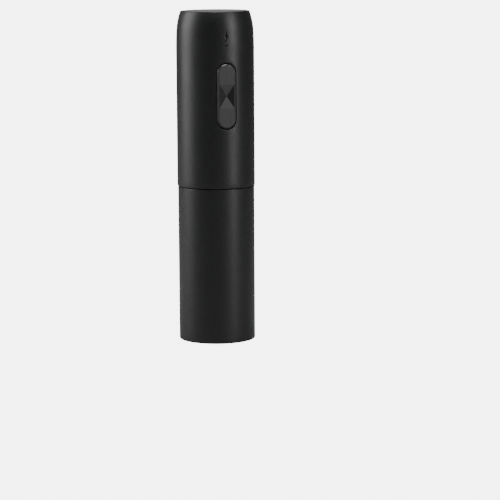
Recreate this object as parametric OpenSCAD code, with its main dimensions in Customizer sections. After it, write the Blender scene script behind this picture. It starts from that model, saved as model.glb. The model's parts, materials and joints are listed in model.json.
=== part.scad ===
// Cordless electric wine opener. A motor and a two-stage planetary gearbox in the handle turn a long
// corkscrew. The sleeve slides over the bottle's neck, the lip meets a pad, and the cork climbs the screw.
// Origin: centre of the sleeve's open mouth. +Z runs up the axis, and the rocker button faces -Y.

/* [Housing] */
// Outer diameter of the handle
handle_d = 50; // [49:0.5:60]
// Height of the handle above the seam
handle_h = 112; // [110:1:135]
// Height of the sleeve below the seam
sleeve_h = 100; // [97:1:122]
// How much smaller the sleeve's radius is than the handle's
sleeve_step = 0.4; // [0.2:0.1:0.8]
// Wall of the handle shell
shell_wall = 2.2; // [1.8:0.1:2.6]
// Wall of the sleeve
sleeve_wall = 2; // [1.6:0.1:2.4]
// Wall of the inner frame
frame_wall = 1.6; // [1.2:0.1:2]
// Open line between the handle and the sleeve
seam_gap = 0.4; // [0.2:0.1:0.8]
// Height of the curved shoulder below the top
shoulder_h = 24; // [20:1:28]
// Radius of the shoulder's gentle lower curve
shoulder_low_r = 200; // [160:5:260]
// Radius of the shoulder's tighter upper curve
shoulder_top_r = 41; // [36:1:60]
// Diameter of the flat cap in the top
cap_d = 38.4; // [34:0.2:39]
// Thickness of the cap's plate
cap_t = 1.8; // [1.4:0.1:2.2]

/* [Bottle and cork] */
// Bore that guides the bottle's neck
neck_bore_d = 31.2; // [28:0.2:33]
// Bore of the chamber that the cork climbs into
cork_bore_d = 25.8; // [24:0.2:27]
// Depth from the mouth to the pad that the bottle's lip meets
lip_depth = 38.5; // [34:0.5:44]
// Depth from the mouth to the tip of the screw
tip_depth = 9; // [7:0.5:12]
// Wall of the neck guide
guide_wall = 1.8; // [1.4:0.1:2.2]
// Height of the ribs that stop the cork turning
cork_rib_h = 0.8; // [0.4:0.1:1]

/* [Corkscrew] */
// Outer diameter of the spiral
spiral_d = 9; // [8:0.2:11]
// Diameter of the spiral's wire
wire_d = 2.9; // [2.4:0.1:3.2]
// Rise of one turn
spiral_pitch = 8.8; // [8:0.2:11]
// Diameter of the hub that holds the spiral
holder_d = 15; // [14:0.5:18]

/* [Gearbox] */
// Tooth size of all the gears
gear_module = 0.5; // [0.45:0.01:0.55]
// Width of the first stage's gears
first_gear_w = 4.2; // [3.6:0.2:5]
// Width of the second stage's gears
second_gear_w = 7; // [6:0.2:8]
// Outer diameter of the gearbox
gearbox_d = 38; // [37:0.2:39.6]
// Diameter of the output shaft
output_d = 6; // [5:0.5:7]

/* [Motor and battery] */
// Diameter of the motor's can
motor_d = 24.4; // [21:0.2:26]
// Length of the motor's can
motor_h = 28; // [26:0.5:30]
// Diameter of the motor's shaft
motor_shaft_d = 2; // [1.8:0.1:2.4]
// Diameter of the battery cell
cell_d = 16.6; // [14.2:0.2:18]
// Length of the battery cell
cell_h = 34; // [30:0.5:35]

/* [Controls] */
// Width of the rocker button
rocker_w = 12.4; // [11:0.2:14]
// Length of the rocker button
rocker_h = 41.6; // [38:0.2:45]
// Gap round the rocker button
rocker_gap = 0.4; // [0.3:0.05:0.6]
// Height of the rocker's pivot above the seam
rocker_rise = 59; // [57:0.5:64]
// Depth of the hollow between the rocker's two thumb pads
rocker_dish = 1.15; // [0.6:0.05:1.8]
// Distance from the pivot to each switch
switch_offset = 13; // [11:0.5:14]

/* [Hidden] */
$fn = 64;

// Clearances
slip = 0.3;      // parts that slide together when the opener is assembled
running = 0.05;  // shafts in their bushes and planets on their pins
snug = 0.02;     // parts that are pushed or screwed together
over = 1;        // how far a cut runs past a face

// Housing
handle_r = handle_d / 2;
sleeve_r = handle_r - sleeve_step;
total_h = sleeve_h + handle_h;
shell_in_r = handle_r - shell_wall;
sleeve_in_r = sleeve_r - sleeve_wall;
shell_z = sleeve_h + seam_gap / 2;
sleeve_top = sleeve_h - seam_gap / 2;
shoulder_z = total_h - shoulder_h;
shoulder_mid_z = total_h - shoulder_h / 2;
mouth_round = 0.9;      // rounding of the sleeve's lower edge
seam_bevel = 0.45;      // bevel of the sleeve's upper edge
rim_round = 0.5;        // rounding of the handle's top edge
deck_z = total_h - 6;   // underside of the deck below the cap
deck_t = 2.2;
cap_recess_r = cap_d / 2 + 0.1;
shell_screw_y = 10;
shell_cone_z = shoulder_z + 2;
shell_cone_r = shell_in_r - 2.5;   // the cavity narrows with the shoulder

// Frame
frame_r = min(shell_in_r, sleeve_in_r) - slip;
frame_in_r = frame_r - frame_wall;
frame_z = sleeve_h - 16;   // lower end of the spigot inside the sleeve
frame_cone_z = shell_cone_z - 1;
frame_top = deck_z - 3;
frame_top_r = shell_cone_r - slip;
lug_h = 2.6;
lug_w = 5;
lug_reach = 0.8;
floor_t = 2.5;
rib_t = 1.6;

// Neck guide
neck_r = neck_bore_d / 2;
cork_r = cork_bore_d / 2;
guide_band_h = 6;        // stretch at the full guiding radius, below the screw's tip
guide_band_z = 2;
guide_relief = 0.3;
guide_flange_r = sleeve_in_r - slip / 2;
lip_pad_t = 1.6;
guide_z = 0.6;
chamber_z = lip_depth + lip_pad_t;

// Gearbox heights, from the frame's floor up
floor_z = frame_z + 10;
cover_z = floor_z + floor_t;
cover_h = 7;
bearing_r = output_d / 2 + 4.5;
bearing_w = 5;
bearing_z = cover_z + 0.1;
ring_z = cover_z + cover_h;
washer_t = 0.7;
carrier_z = ring_z + washer_t + running;
carrier_t = 3;
second_gear_z = carrier_z + carrier_t + 0.2;
first_carrier_z = second_gear_z + second_gear_w + 0.75;
first_carrier_t = 2;
first_gear_z = first_carrier_z + first_carrier_t + 0.2;
plate_z = first_gear_z + first_gear_w + 0.8;
plate_t = 2;
sun_teeth = 12;          // with 24 and 60 teeth each stage turns six times slower
planet_teeth = 24;
ring_teeth = sun_teeth + 2 * planet_teeth;
orbit_r = gear_module * (sun_teeth + planet_teeth) / 2;
pin_r = 1.5;
carrier_r = orbit_r + pin_r + 2;
pressure_angle = 25;
tooth_play = 0.08;       // how much thinner each tooth is than half the pitch
gearbox_r = gearbox_d / 2;
bolt_r = 0.95;
bolt_circle_r = gearbox_r - 1.75;
mount_circle_r = 13;

// Motor heights
motor_z = plate_z + plate_t;
motor_r = motor_d / 2;
can_t = 1;
boss_r = 4.5;
motor_shaft_r = motor_shaft_d / 2;
bush_r = 3;
core_h = motor_h / 2;
core_z = motor_z + 3.1;
magnet_t = 2.1;
air_gap = 0.5;
core_r = motor_r - can_t - 0.1 - magnet_t - air_gap;
poles = 5;
commutator_r = 3;
commutator_h = 3.6;
commutator_z = core_z + core_h + 3.5;
end_cap_t = 2.5;
motor_top = motor_z + motor_h;
terminal_x = 7.5;
terminal_h = 4.6;

// Battery and boards
cell_z = motor_top + terminal_h + 6.6;
cell_r = cell_d / 2;
board_t = 1.2;
board_y = -(shell_in_r - 6.2);    // front face of the control board
board_w = 22;
board_z = motor_z + 6.6;
board_top = frame_cone_z + 7;
charge_z = shoulder_z + 1;        // height of the charging socket
charge_board_y = shell_in_r - 9.3;
socket_w = 8.94;
socket_h = 3.2;

// Rocker and indicator
rocker_z = sleeve_h + rocker_rise;
rocker_front = handle_r + 0.35;
rocker_bevel = 1;
pivot_y = -(shell_in_r - 3.6);
trunnion_r = 1;
trunnion_reach = rocker_w / 2 + 2.3;
window_x = rocker_w / 2 + 0.6;
rocker_back = shell_in_r - 1;
switch_front = -board_y + 3.3;
plunger_r = 1.6;
plunger_tip = shell_in_r - 1.6;
dot_z = shoulder_z + 3;
bolt_icon_z = shoulder_z + 8.9;
lens_y = -(shell_in_r - 2);

// ---------- helpers ----------
module tube(r_out, r_in, h, z = 0) {
    translate([0, 0, z]) difference() {
        cylinder(r = r_out, h = h);
        translate([0, 0, -over]) cylinder(r = r_in, h = h + 2 * over);
    }
}

module disc(r, h, z = 0) {
    translate([0, 0, z]) cylinder(r = r, h = h);
}

module box(x, y, z) {
    translate([x[0], y[0], z[0]]) cube([x[1] - x[0], y[1] - y[0], z[1] - z[0]]);
}

module around(count, r, start = 0) {
    for (i = [0:count - 1]) rotate([0, 0, start + i * 360 / count]) translate([r, 0, 0]) children();
}

// A rod along +Y from one y to another
module rod_y(r, y0, y1, x = 0, z = 0) {
    translate([x, y0, z]) rotate([-90, 0, 0]) cylinder(r = r, h = y1 - y0);
}

// A rod along +X from one x to another
module rod_x(r, x0, x1, y = 0, z = 0) {
    translate([x0, y, z]) rotate([0, 90, 0]) cylinder(r = r, h = x1 - x0);
}

// A pan-head screw on +Z: its head sits on z = 0 and its shank runs down, with a cross in the head
module pan_screw(shank_r, length, head_r, head_h) {
    difference() {
        union() {
            translate([0, 0, -length]) cylinder(r = shank_r, h = length);
            cylinder(r = head_r, h = head_h * 0.6);
            translate([0, 0, head_h * 0.6]) cylinder(r1 = head_r, r2 = head_r * 0.7, h = head_h * 0.4);
        }
        for (a = [0, 90]) rotate([0, 0, a])
            translate([-head_r * 0.6, -0.2, head_h * 0.4]) cube([head_r * 1.2, 0.4, head_h]);
    }
}

// An upright stadium seen along Y: w wide, h high, between two y planes
module stadium(w, h, y0, y1, z) {
    for (s = [-1, 1]) rod_y(w / 2, y0, y1, 0, z + s * (h - w) / 2);
    box([-w / 2, w / 2], [y0, y1], [z - (h - w) / 2, z + (h - w) / 2]);
}

// A closed tube round a path. Each ring's start direction is carried along so that the tube doesn't twist
function unit(v) = v / norm(v);
function path_dir(p, i) = unit(p[min(i + 1, len(p) - 1)] - p[max(i - 1, 0)]);
function carried(p, i, s) = i == len(p) ? [] :
    let (d = path_dir(p, i), n = unit(s - (s * d) * d)) concat([n], carried(p, i + 1, n));
module swept_tube(path, radii, sides) {
    rings = len(path);
    first = path_dir(path, 0);
    starts = carried(path, 0, cross(first, abs(first[2]) < 0.9 ? [0, 0, 1] : [1, 0, 0]));
    points = [for (i = [0:rings - 1]) let (s = starts[i], t = cross(path_dir(path, i), s))
        for (k = [0:sides - 1]) path[i] + radii[i] * (cos(360 * k / sides) * s + sin(360 * k / sides) * t)];
    ends = [[for (k = [0:sides - 1]) k], [for (k = [sides - 1:-1:0]) (rings - 1) * sides + k]];
    walls = [for (i = [0:rings - 2]) for (k = [0:sides - 1]) let (a = i * sides, next = (k + 1) % sides)
        [a + k, a + sides + k, a + sides + next, a + next]];
    triangles = [for (q = walls) each [[q[0], q[1], q[2]], [q[0], q[2], q[3]]]];
    polyhedron(points = points, faces = concat(ends, triangles));
}

// A lead that runs smoothly through its points
function through(p, i, t) =
    let (a = p[max(i - 1, 0)], b = p[i], c = p[i + 1], d = p[min(i + 2, len(p) - 1)])
    b + t * (c - a) / 2 + t * t * (a - 2.5 * b + 2 * c - d / 2) + t * t * t * (3 * b - 3 * c + d - a) / 2;
module lead(p, r = 0.55, steps = 4, sides = 8) {
    smooth = [for (i = [0:len(p) - 2]) for (j = [0:steps - 1]) through(p, i, j / steps)];
    path = concat(smooth, [p[len(p) - 1]]);
    swept_tube(path, [for (q = path) r], sides);
}

// ---------- gears ----------
function rolled(r, base_r) = let (t = sqrt(max(0, pow(r / base_r, 2) - 1))) t * 180 / PI - atan(t);
function half_tooth(r, pitch_r, base_r, teeth, play) =
    90 / teeth - play / (2 * pitch_r) * 180 / PI + rolled(pitch_r, base_r) - rolled(r, base_r);
function polar(r, a) = [r * cos(a), r * sin(a)];

// Outline of a spur gear with involute flanks and a tooth centred on +X
function gear_outline(teeth, tip, root, play, steps = 4) =
    let (pitch_r = teeth * gear_module / 2,
        base_r = pitch_r * cos(pressure_angle),
        low = max(base_r, pitch_r - root),
        flank = [for (j = [0:steps]) low + (pitch_r + tip - low) * j / steps],
        half = [for (r = flank) half_tooth(r, pitch_r, base_r, teeth, play)])
    [for (i = [0:teeth - 1]) let (a = i * 360 / teeth) each concat(
        low > pitch_r - root ? [polar(pitch_r - root, a - half[0])] : [],
        [for (j = [0:steps]) polar(flank[j], a - half[j])],
        [for (j = [steps:-1:0]) polar(flank[j], a + half[j])],
        low > pitch_r - root ? [polar(pitch_r - root, a + half[0])] : [])];

module spur_gear(teeth, width, bore_r) {
    linear_extrude(width) difference() {
        polygon(gear_outline(teeth, 0.9 * gear_module, 1.15 * gear_module, tooth_play));
        circle(r = bore_r);
    }
}

// A planet turned so that its teeth mesh with the sun and the ring at rest
module planet(index, z, width) {
    rotate([0, 0, index * 120]) translate([orbit_r, 0, z]) rotate([0, 0, 180 + 180 / planet_teeth])
        spur_gear(planet_teeth, width, pin_r + running);
}

// ---------- housing ----------
// Half section of the handle's outside: straight, then two arcs that run into each other
module handle_section() {
    lean = asin(shoulder_h / 2 / shoulder_low_r);
    low_x = handle_r - shoulder_low_r;
    top_x = low_x + (shoulder_low_r - shoulder_top_r) * cos(lean);
    top_z = shoulder_mid_z - shoulder_top_r * sin(lean);
    translate([0, shell_z]) square([handle_r, shoulder_z - shell_z]);
    intersection() {
        translate([0, shoulder_z]) square([handle_r, shoulder_h / 2]);
        translate([low_x, shoulder_z]) circle(r = shoulder_low_r, $fn = 240);
    }
    intersection() {
        translate([0, shoulder_mid_z]) square([handle_r, shoulder_h / 2]);
        translate([top_x, top_z]) circle(r = shoulder_top_r, $fn = 240);
    }
}

// Radius of the handle's outside at its very top
function handle_top_r() = let (lean = asin(shoulder_h / 2 / shoulder_low_r),
    top_x = handle_r - shoulder_low_r + (shoulder_low_r - shoulder_top_r) * cos(lean),
    rise = total_h - (shoulder_mid_z - shoulder_top_r * sin(lean)))
    top_x + sqrt(pow(shoulder_top_r, 2) - pow(rise, 2));

// Cuts the handle's sharp top edge back to a round one
module rim_cut() {
    x = handle_top_r() - rim_round;
    z = total_h - rim_round;
    rotate_extrude() difference() {
        translate([x, z]) square([2 * rim_round, rim_round + 0.2]);
        translate([x, z]) circle(r = rim_round);
    }
}

module shell_cavity() {
    disc(shell_in_r, shell_cone_z - shell_z + over + 0.001, shell_z - over);
    translate([0, 0, shell_cone_z]) cylinder(r1 = shell_in_r, r2 = shell_cone_r, h = deck_z - shell_cone_z);
    disc(cap_recess_r, total_h, deck_z + deck_t);
}

// The lightning mark, seen along Y
module bolt_mark(y0, y1, grow = 0) {
    w = 0.95 + grow;
    h = 2.75 + grow;
    translate([0, y1, bolt_icon_z]) rotate([90, 0, 0]) linear_extrude(y1 - y0)
        polygon([[w * 0.25, h], [-w, -h * 0.12], [-w * 0.05, -h * 0.12], [-w * 0.25, -h],
            [w, h * 0.14], [w * 0.05, h * 0.14]]);
}

module handle_shell() color("#1c1d1f") difference() {
    rotate_extrude() handle_section();
    shell_cavity();
    rim_cut();
    for (s = [-1, 1]) disc_at(0, s * shell_screw_y, 1.4, deck_t + 2 * over, deck_z - over);
    stadium(rocker_w + 2 * rocker_gap, rocker_h + 2 * rocker_gap,
        -handle_r - over, -handle_r / 2, rocker_z);
    rod_y(0.8, -handle_r - over, lens_y, 0, dot_z);
    bolt_mark(-handle_r - over, lens_y, 0.06);
    socket_opening(socket_w + 0.7, socket_h + 0.7, shell_in_r - over, handle_r + over);
    socket_opening(socket_w + 2.6, socket_h + 2.6, handle_r - 0.7, handle_r + over);
}

module disc_at(x, y, r, h, z) {
    translate([x, y, z]) cylinder(r = r, h = h);
}

// A flat stadium through the back wall for the charging socket
module socket_opening(w, h, y0, y1) {
    for (s = [-1, 1]) rod_y(h / 2, y0, y1, s * (w - h) / 2, charge_z);
    box([-(w - h) / 2, (w - h) / 2], [y0, y1], [charge_z - h / 2, charge_z + h / 2]);
}

module top_cap() color("#26272a") {
    cap_z = total_h - cap_t;
    difference() {
        union() {
            disc(cap_d / 2, cap_t - 0.2, cap_z);
            translate([0, 0, total_h - 0.2]) cylinder(r1 = cap_d / 2, r2 = cap_d / 2 - 0.2, h = 0.2);
            disc(cap_d / 2, cap_z - deck_z - deck_t, deck_z + deck_t);
        }
        disc(cap_d / 2 - 1.7, cap_z - deck_z - deck_t + over, deck_z + deck_t - over);
    }
}

// Two screws pull the frame up to the shell's deck, and four hold the gearbox on the frame's floor
module case_screws() color("#8d9096") {
    for (s = [-1, 1]) translate([0, s * shell_screw_y, deck_z + deck_t]) pan_screw(1.2, 6.5, 2.2, 1.4);
    around(4, mount_circle_r, 45) translate([0, 0, floor_z]) rotate([180, 0, 0])
        pan_screw(1.2, 6.5, 2.2, 1.4);
}

module lower_sleeve() color("#1c1d1f") difference() {
    rotate_extrude() difference() {
        union() {
            translate([sleeve_in_r, mouth_round]) square([sleeve_wall, sleeve_top - mouth_round]);
            translate([sleeve_in_r, 0]) square([sleeve_wall - mouth_round, mouth_round + 0.01]);
            intersection() {
                translate([sleeve_r - mouth_round, 0]) square([mouth_round, mouth_round + 0.01]);
                translate([sleeve_r - mouth_round, mouth_round]) circle(r = mouth_round);
            }
        }
        polygon([[sleeve_r - seam_bevel, sleeve_top + 0.01], [sleeve_r + 0.01, sleeve_top - seam_bevel],
            [sleeve_r + 1, sleeve_top + 1]]);
    }
    around(4, 0, 45) lug(0.15, 0.2);
}

// One snap lug of the spigot, or with some play the pocket that it clicks into
module lug(play, deep) {
    box([frame_r - 0.6, frame_r + lug_reach + deep], [-lug_w / 2 - play, lug_w / 2 + play],
        [frame_z + 3.6 - play, frame_z + 3.6 + lug_h + play]);
}

// A web that centres a tube in the sleeve, on each side
module webs(r, z0, z1) {
    for (a = [0:90:270]) rotate([0, 0, a]) box([r, guide_flange_r - 1], [-0.7, 0.7], [z0, z1]);
}

module neck_guide() color("#2b2c2f") difference() {
    union() {
        disc(neck_r + guide_wall, chamber_z - guide_z, guide_z);
        disc(guide_flange_r, 2, guide_z);
        webs(neck_r + guide_wall / 2, guide_z + 1, chamber_z - 1);
    }
    disc(neck_r, total_h, -over);
    disc(neck_r + guide_relief, total_h, guide_band_z + guide_band_h);
    translate([0, 0, guide_z - 0.01])
        cylinder(r1 = neck_r + 1.4, r2 = neck_r, h = guide_band_z - guide_z + 0.01);
}

module cork_chamber() color("#2b2c2f") {
    difference() {
        union() {
            disc(neck_r + guide_wall, 2, chamber_z);
            disc(cork_r + guide_wall, frame_z - chamber_z, chamber_z);
            disc(guide_flange_r, 2, frame_z - 2);
            webs(cork_r + guide_wall / 2, chamber_z, frame_z - 1);
        }
        disc(cork_r, total_h, chamber_z - over);
    }
    for (a = [45:90:315]) rotate([0, 0, a])
        box([cork_r - cork_rib_h, cork_r + 0.4], [-0.5, 0.5], [chamber_z + 3, frame_z - 1]);
}

module lip_pad() color("#4a4b4e")
    tube(neck_r + guide_relief - 0.05, cork_r, lip_pad_t - 0.05, lip_depth);

// ---------- frame ----------
module frame_wall_solid() {
    difference() {
        union() {
            disc(frame_r, frame_cone_z - frame_z, frame_z);
            translate([0, 0, frame_cone_z])
                cylinder(r1 = frame_r, r2 = frame_top_r, h = frame_top - frame_cone_z);
        }
        disc(frame_in_r, frame_cone_z - frame_z + over, frame_z - over);
        translate([0, 0, frame_cone_z])
            cylinder(r1 = frame_in_r, r2 = frame_top_r - frame_wall, h = frame_top - frame_cone_z + 0.001);
    }
}

// A cross wall of the frame with a round hole in it
module cross_wall(z, t, hole_r, reach = frame_in_r) {
    tube(reach + 0.3, hole_r, t, z);
}

module frame_screw_posts() {
    for (x = [-1, 1]) for (z = frame_post_z()) rod_y(2.3, -6, 6, x * (frame_in_r - 2.3), z);
}

function frame_post_z() = [motor_z + 8, shoulder_z - 4];

module frame_solid() {
    cell_floor = cell_z - 0.9 - rib_t;
    difference() {
        union() {
            frame_wall_solid();
            cross_wall(floor_z, floor_t, output_d / 2 + 3.6);
            for (z = [cover_z + 2, ring_z + 8]) cross_wall(z, rib_t, gearbox_r + 0.1);
            cross_wall(motor_z + motor_h / 2, rib_t, motor_r + 0.1);
            cross_wall(cell_floor, rib_t, cell_r - 2.5);
            cross_wall(cell_z + cell_h / 4, rib_t, cell_r + 0.1);
            cross_wall(cell_z + cell_h * 3 / 4, rib_t, cell_r + 0.1, frame_in_r - 0.2);
            cross_wall(frame_top - rib_t, rib_t, 4, frame_top_r - frame_wall);
            for (s = [-1, 1])
                disc_at(0, s * shell_screw_y, 2.8, deck_z - frame_top + rib_t, frame_top - rib_t);
            frame_screw_posts();
            around(4, 0, 45) lug(0, 0);
            rocker_ears();
        }
        for (s = [-1, 1]) disc_at(0, s * shell_screw_y, 1.2 + snug, 12, deck_z - 9);
        around(4, mount_circle_r, 45) disc(1.3, floor_t + 2 * over, floor_z - over);
        for (x = [-1, 1]) for (z = frame_post_z()) {
            rod_y(0.95 + snug, -5.3, 6 + over, x * (frame_in_r - 2.3), z);
            rod_y(2.1, 4.5, frame_r, x * (frame_in_r - 2.3), z);
        }
        board_slots();
        frame_windows();
        box([-11.5, 11.5], [-13, -2], [cell_floor - over, cell_floor + rib_t + over]);
        box([-2.4, 2.4], [0, cell_r + 0.5], [cell_z - 0.85, frame_top - rib_t - over]);
        rod_x(trunnion_r + running, -window_x - 4, window_x + 4, pivot_y, rocker_z);
    }
}

module rocker_ears() {
    intersection() {
        for (s = [-1, 1]) translate([s * (window_x + 1), pivot_y + 0.4, rocker_z])
            cube([2, 5, 6.4], center = true);
        disc(frame_r, 8, rocker_z - 4);
    }
}

// Room for the two boards and for what stands on them
module board_slots() {
    box([-board_w / 2 - 0.1, board_w / 2 + 0.1], [board_y - 0.1, board_y + board_t + 0.1],
        [board_z - 0.2, board_top + 0.3]);
    box([-board_w / 2 + 2, board_w / 2 - 2], [board_y - 2.2, board_y], [board_z, board_top]);
    box([-board_w / 2 + 2, board_w / 2 - 2], [board_y, -cell_r - 1.3], [motor_top + 4, board_top]);
    box([-window_x, window_x], [board_y - 5, board_y],
        [rocker_z - rocker_h / 2 - 1, rocker_z + rocker_h / 2 + 1]);
    box([-9.2, 9.2], [charge_board_y - 0.1, charge_board_y + 1.1], [charge_z - 9, charge_z + 8]);
    box([-7, 7], [charge_board_y - 2, charge_board_y], [charge_z - 8, charge_z + 7]);
}

module frame_windows() {
    reach = frame_r + over;
    box([-window_x, window_x], [-reach, board_y - 2],
        [rocker_z - rocker_h / 2 - 1, rocker_z + rocker_h / 2 + 1]);
    box([-3.2, 3.2], [-reach, board_y - 1], [dot_z - 3.2, bolt_icon_z + 3.9]);
    box([-6, 6], [charge_board_y, reach], [charge_z - 3, charge_z + 3]);
}

module front_frame() color("#3a3b3e") intersection() {
    frame_solid();
    box([-handle_d, handle_d], [-handle_d, 0], [0, total_h]);
}

module rear_frame() color("#3a3b3e") intersection() {
    frame_solid();
    box([-handle_d, handle_d], [0, handle_d], [0, total_h]);
}

module frame_screws() color("#8d9096") for (x = [-1, 1]) for (z = frame_post_z())
    translate([x * (frame_in_r - 2.3), 4.5, z]) rotate([-90, 0, 0]) pan_screw(0.95, 9.5, 1.9, 1.3);

// ---------- gearbox ----------
module gearbox_cover() color("#6f7378") difference() {
    disc(gearbox_r, cover_h, cover_z);
    disc(bearing_r, bearing_w + 0.2 + over, cover_z - over);
    disc(output_d / 2 + 1.5, cover_h + 2 * over, cover_z - over);
    around(4, mount_circle_r, 45) disc(1.2 + snug, 4.5 + over, cover_z - over);
    around(4, bolt_circle_r) disc(bolt_r + snug, cover_h, cover_z + 2);
}

module ring_gear() color("#d8d4c8") difference() {
    disc(gearbox_r, plate_z - ring_z, ring_z);
    translate([0, 0, ring_z - over]) rotate([0, 0, 180 / ring_teeth])
        linear_extrude(plate_z - ring_z + 2 * over)
            polygon(gear_outline(ring_teeth, 1.2 * gear_module, 0.9 * gear_module, -tooth_play));
    around(4, bolt_circle_r) disc(bolt_r + snug, plate_z - ring_z + 2 * over, ring_z - over);
}

module motor_plate() color("#9da1a6") difference() {
    disc(gearbox_r, plate_t, plate_z);
    disc(boss_r + snug, plate_t + 2 * over, plate_z - over);
    around(4, bolt_circle_r) disc(bolt_r + snug, plate_t + 2 * over, plate_z - over);
    around(2, 8.5, 90) {
        disc(1.25 + snug, plate_t + 2 * over, plate_z - over);
        translate([0, 0, plate_z - snug]) cylinder(r1 = 2.3, r2 = 1.25, h = 1.2);
    }
}

module gearbox_bolts() color("#8d9096") around(4, bolt_circle_r)
    translate([0, 0, motor_z]) pan_screw(bolt_r, motor_z - cover_z - 2.5, 1.6, 1.2);

module motor_screws() color("#8d9096") around(2, 8.5, 90) translate([0, 0, plate_z]) difference() {
    union() {
        cylinder(r1 = 2.2, r2 = 1.2, h = 1.15);
        cylinder(r = 1.2, h = plate_t + can_t);
    }
    for (a = [0, 90]) rotate([0, 0, a]) translate([-1.3, -0.2, -over]) cube([2.6, 0.4, over + 0.6]);
}

module thrust_washer() color("#b98b4e") tube(9, output_d / 2 + 1.6, washer_t, ring_z);

// Race of the bearing: a ring between two radii with the ball groove cut in it
module race(r_in, r_out) {
    rotate_extrude() difference() {
        translate([r_in, bearing_z]) square([r_out - r_in, bearing_w]);
        translate([output_d / 2 + 2.25, bearing_z + bearing_w / 2]) circle(r = 1.2);
    }
}

module bearing_outer_ring() color("#b9bcc0") race(output_d / 2 + 2.9, bearing_r);
module bearing_inner_ring() color("#b9bcc0") race(output_d / 2, output_d / 2 + 1.6);
module bearing_balls() color("#d5d7da") around(7, output_d / 2 + 2.25)
    translate([0, 0, bearing_z + bearing_w / 2]) sphere(r = 1.15);

module carrier_pins(z, h) {
    around(3, orbit_r) disc(pin_r, h, z);
}

module output_carrier() color("#a3a7ab") {
    difference() {
        disc(carrier_r, carrier_t, carrier_z);
        disc(output_d / 2, carrier_t + 2 * over, carrier_z - over);
    }
    carrier_pins(carrier_z + carrier_t - 0.1, second_gear_w + 0.5);
}

module output_shaft() color("#c3c6c9")
    disc(output_d / 2, carrier_z + carrier_t - holder_joint_z(), holder_joint_z());

module first_carrier() color("#a3a7ab") {
    difference() {
        disc(carrier_r, first_carrier_t, first_carrier_z);
        disc(1.6, first_carrier_t + 2 * over, first_carrier_z - over);
    }
    carrier_pins(first_carrier_z + first_carrier_t - 0.1, first_gear_w + 0.6);
}

module second_sun_gear() color("#c9b06a") {
    translate([0, 0, second_gear_z]) linear_extrude(first_carrier_z - second_gear_z)
        polygon(gear_outline(sun_teeth, 0.9 * gear_module, 1.15 * gear_module, tooth_play));
    disc(1.6, first_carrier_t, first_carrier_z);
}

module first_planet_a() color("#e9e4d6") planet(0, first_gear_z, first_gear_w);
module first_planet_b() color("#e9e4d6") planet(1, first_gear_z, first_gear_w);
module first_planet_c() color("#e9e4d6") planet(2, first_gear_z, first_gear_w);
module second_planet_a() color("#b9bcc0") planet(0, second_gear_z, second_gear_w);
module second_planet_b() color("#b9bcc0") planet(1, second_gear_z, second_gear_w);
module second_planet_c() color("#b9bcc0") planet(2, second_gear_z, second_gear_w);

// ---------- corkscrew ----------
function holder_joint_z() = frame_z + 7;
holder_z = frame_z + 0.4;

module spiral_holder() color("#2b2c2f") difference() {
    union() {
        disc(holder_d / 2, floor_z - holder_z - 0.5, holder_z + 0.2);
        translate([0, 0, holder_z - 0.6]) cylinder(r1 = holder_d / 2 - 0.8, r2 = holder_d / 2, h = 0.8);
        disc(output_d / 2 + 2.8, cover_z - floor_z + 0.3, floor_z - 0.4);
    }
    disc(wire_d / 2 + running, holder_joint_z() - holder_z + over, holder_z - over);
    disc(output_d / 2 + snug, cover_z, holder_joint_z());
    rod_x(0.75 + snug, -holder_d, holder_d, 0, holder_joint_z() + 1.8);
    rod_x(1.25 + snug, 0, holder_d, 0, holder_z + 3);
}

module holder_pins() color("#c3c6c9") {
    pin_z = holder_joint_z() + 1.8;
    for (s = [-1, 1]) rod_x(0.75, s > 0 ? output_d / 2 : -holder_d / 2 + 0.2,
        s > 0 ? holder_d / 2 - 0.2 : -output_d / 2, 0, pin_z);
    difference() {
        rod_x(1.25, wire_d / 2 + running, holder_d / 2 - 0.3, 0, holder_z + 3);
        translate([holder_d / 2 - 1.5, 0, holder_z + 3]) rotate([0, 90, 0])
            cylinder(r = 0.6, h = 2, $fn = 6);
    }
}

// The spiral is a right-handed helix that grinds down to a point and ends in a straight shank
module corkscrew_spiral() color("#2a2b2d") {
    r = spiral_d / 2 - wire_d / 2;
    per_turn = 16;
    top_z = frame_z - 5.6;
    steps = ceil((top_z - tip_depth) / spiral_pitch * per_turn);
    tip_steps = 12;
    in_steps = 8;
    end_a = steps * 360 / per_turn;
    helix = [for (i = [0:steps]) let (a = i * 360 / per_turn)
        [r * cos(a), r * sin(a), tip_depth + (top_z - tip_depth) * i / steps]];
    // the wire winds in to the axis and straightens
    winding_in = [for (i = [1:in_steps]) let (t = i / in_steps, a = end_a + 130 * t * (1 - t / 2))
        [r * pow(cos(90 * t), 1.2) * cos(a), r * pow(cos(90 * t), 1.2) * sin(a), top_z + 4.6 * t]];
    shank = [for (z = [1.5, 7.5]) [0, 0, top_z + 4.6 + z]];
    path = concat(helix, winding_in, shank);
    point_r = 0.12;
    radii = [for (i = [0:len(path) - 1])
        i < tip_steps ? point_r + (wire_d / 2 - point_r) * sqrt(i / tip_steps) : wire_d / 2];
    swept_tube(path, radii, 8);
}

// ---------- motor ----------
module motor_can() color("#b4b7bb") difference() {
    union() {
        disc(motor_r, motor_h, motor_z);
        disc(boss_r, plate_t + 0.1, plate_z);
    }
    disc(motor_r - can_t, motor_h, motor_z + can_t);
    disc(bush_r, 10, plate_z - over);
    around(2, 8.5, 90) disc(1.2 + snug, 2 * over, motor_z - 0.5);
}

module motor_bushes() color("#a77c3f") {
    tube(bush_r, motor_shaft_r + running, plate_t + can_t + 0.6, plate_z);
    tube(bush_r, motor_shaft_r + running, 3.4, motor_top - end_cap_t + 0.6);
}

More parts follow.
